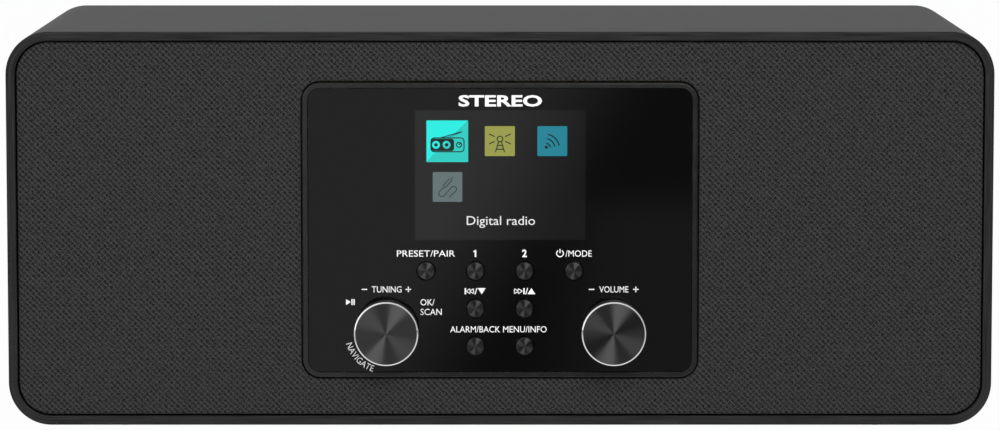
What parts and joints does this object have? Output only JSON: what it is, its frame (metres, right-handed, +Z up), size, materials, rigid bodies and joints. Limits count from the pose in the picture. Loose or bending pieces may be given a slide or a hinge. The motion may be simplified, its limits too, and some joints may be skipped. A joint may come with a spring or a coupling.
{
  "type": "tabletop radio",
  "caption": "Tabletop radio: black wooden cabinet, cloth front over stereo speakers, colour display, knobs, round buttons and a folding telescopic antenna.",
  "frame": {"origin": "on the ground, under the middle of the bounding box", "axes": "+Z up, +X to the right of someone facing the controls, +Y from the front to the back"},
  "size_m": [0.334, 0.1668, 0.1368],
  "materials": {
    "black_stained_veneer": "black-stained wood veneer, satin",
    "raw_fibreboard": "unfinished fibreboard",
    "grille_cloth": "woven acoustic cloth, dark grey",
    "black_moulded_plastic": "fine moulded texture",
    "black_gloss_plastic": "polished",
    "tinted_acrylic": "polished, dark tint",
    "display_glass": "glossy, lit",
    "circuit_board": "solder mask",
    "spun_aluminium": "spun and dark anodised",
    "zinc_plated_steel": "zinc plated",
    "coated_ferrite": "dull",
    "chromed_brass": "polished",
    "black_rubber": "matt",
    "paper_cone": "felted pulp",
    "grey_cable_jacket": "smooth vinyl"
  },
  "bodies": {
    "root": {"cabinet": "black_stained_veneer", "front_baffle": "raw_fibreboard", "grille_frame": "black_moulded_plastic", "grille_cloth": "grille_cloth", "panel_bezel": "black_gloss_plastic", "panel_lens": "tinted_acrylic", "display_module": "display_glass", "control_board": "circuit_board", "tuning_encoder": "zinc_plated_steel", "volume_encoder": "zinc_plated_steel", "main_board": "circuit_board", "dc_jack": "black_moulded_plastic", "aux_jack": "black_moulded_plastic", "headphone_jack": "black_moulded_plastic", "back_panel": "black_moulded_plastic", "bass_port": "black_moulded_plastic", "foot_front_left": "black_rubber", "foot_front_right": "black_rubber", "foot_rear_left": "black_rubber", "foot_rear_right": "black_rubber", "left_speaker_basket": "zinc_plated_steel", "left_speaker_magnet": "coated_ferrite", "left_speaker_surround": "black_rubber", "right_speaker_basket": "zinc_plated_steel", "right_speaker_magnet": "coated_ferrite", "right_speaker_surround": "black_rubber", "back_screw_1": "zinc_plated_steel", "back_screw_2": "zinc_plated_steel", "back_screw_3": "zinc_plated_steel", "back_screw_4": "zinc_plated_steel", "back_screw_5": "zinc_plated_steel", "back_screw_6": "zinc_plated_steel", "ribbon_cable": "grey_cable_jacket", "left_speaker_lead": "grey_cable_jacket", "right_speaker_lead": "grey_cable_jacket"},
    "button_preset": {"button_preset": "spun_aluminium"},
    "button_1": {"button_1": "spun_aluminium"},
    "button_2": {"button_2": "spun_aluminium"},
    "button_mode": {"button_mode": "spun_aluminium"},
    "button_previous": {"button_previous": "spun_aluminium"},
    "button_next": {"button_next": "spun_aluminium"},
    "button_alarm": {"button_alarm": "spun_aluminium"},
    "button_menu": {"button_menu": "spun_aluminium"},
    "tuning_plunger": {"tuning_plunger": "black_moulded_plastic"},
    "tuning_knob": {"tuning_knob": "black_moulded_plastic", "tuning_knob_cap": "spun_aluminium", "tuning_shaft": "zinc_plated_steel"},
    "volume_knob": {"volume_knob": "black_moulded_plastic", "volume_knob_cap": "spun_aluminium", "volume_shaft": "zinc_plated_steel"},
    "left_speaker_cone": {"left_speaker_cone": "paper_cone"},
    "right_speaker_cone": {"right_speaker_cone": "paper_cone"},
    "antenna_swivel": {"antenna_fork": "chromed_brass", "antenna_pin": "zinc_plated_steel"},
    "antenna_whip_1": {"antenna_knuckle": "chromed_brass", "antenna_section_1": "chromed_brass"},
    "antenna_whip_2": {"antenna_section_2": "chromed_brass"},
    "antenna_whip_3": {"antenna_section_3": "chromed_brass"},
    "antenna_whip_4": {"antenna_section_4": "chromed_brass"},
    "antenna_whip_5": {"antenna_section_5": "chromed_brass"}
  },
  "joints": [
    {"name": "button_preset_press", "type": "slide", "parent": "root", "child": "button_preset", "axis": [0, 1, 0], "range_m": [0, 0.0006], "stiffness_N_per_m": 500},
    {"name": "button_1_press", "type": "slide", "parent": "root", "child": "button_1", "axis": [0, 1, 0], "range_m": [0, 0.0006], "stiffness_N_per_m": 500},
    {"name": "button_2_press", "type": "slide", "parent": "root", "child": "button_2", "axis": [0, 1, 0], "range_m": [0, 0.0006], "stiffness_N_per_m": 500},
    {"name": "button_mode_press", "type": "slide", "parent": "root", "child": "button_mode", "axis": [0, 1, 0], "range_m": [0, 0.0006], "stiffness_N_per_m": 500},
    {"name": "button_previous_press", "type": "slide", "parent": "root", "child": "button_previous", "axis": [0, 1, 0], "range_m": [0, 0.0006], "stiffness_N_per_m": 500},
    {"name": "button_next_press", "type": "slide", "parent": "root", "child": "button_next", "axis": [0, 1, 0], "range_m": [0, 0.0006], "stiffness_N_per_m": 500},
    {"name": "button_alarm_press", "type": "slide", "parent": "root", "child": "button_alarm", "axis": [0, 1, 0], "range_m": [0, 0.0006], "stiffness_N_per_m": 500},
    {"name": "button_menu_press", "type": "slide", "parent": "root", "child": "button_menu", "axis": [0, 1, 0], "range_m": [0, 0.0006], "stiffness_N_per_m": 500},
    {"name": "tuning_push", "type": "slide", "parent": "root", "child": "tuning_plunger", "axis": [0, 1, 0], "range_m": [0, 0.0008], "stiffness_N_per_m": 2500},
    {"name": "tuning_turn", "type": "hinge", "parent": "tuning_plunger", "child": "tuning_knob", "pos_m": [-0.0385, -0.0756, 0.03495], "axis": [0, 1, 0], "continuous": true},
    {"name": "volume_turn", "type": "hinge", "parent": "root", "child": "volume_knob", "pos_m": [0.0385, -0.0756, 0.03495], "axis": [0, 1, 0], "continuous": true},
    {"name": "left_cone_stroke", "type": "slide", "parent": "root", "child": "left_speaker_cone", "axis": [0, -1, 0], "range_m": [-0.002, 0.002], "stiffness_N_per_m": 1200, "deforming": ["left_speaker_surround"]},
    {"name": "right_cone_stroke", "type": "slide", "parent": "root", "child": "right_speaker_cone", "axis": [0, -1, 0], "range_m": [-0.002, 0.002], "stiffness_N_per_m": 1200, "deforming": ["right_speaker_surround"]},
    {"name": "antenna_swivel", "type": "hinge", "parent": "root", "child": "antenna_swivel", "pos_m": [0.125, 0.0794, 0.1188], "axis": [0, 1, 0], "range_deg": [0, 180]},
    {"name": "antenna_elbow", "type": "hinge", "parent": "antenna_swivel", "child": "antenna_whip_1", "pos_m": [0.125, 0.0794, 0.1188], "axis": [0, 0, -1], "range_deg": [0, 90]},
    {"name": "antenna_pull_2", "type": "slide", "parent": "antenna_whip_1", "child": "antenna_whip_2", "axis": [-1, 0, 0], "range_m": [0, 0.13]},
    {"name": "antenna_pull_3", "type": "slide", "parent": "antenna_whip_2", "child": "antenna_whip_3", "axis": [-1, 0, 0], "range_m": [0, 0.13]},
    {"name": "antenna_pull_4", "type": "slide", "parent": "antenna_whip_3", "child": "antenna_whip_4", "axis": [-1, 0, 0], "range_m": [0, 0.13]},
    {"name": "antenna_pull_5", "type": "slide", "parent": "antenna_whip_4", "child": "antenna_whip_5", "axis": [-1, 0, 0], "range_m": [0, 0.13]}
  ]
}
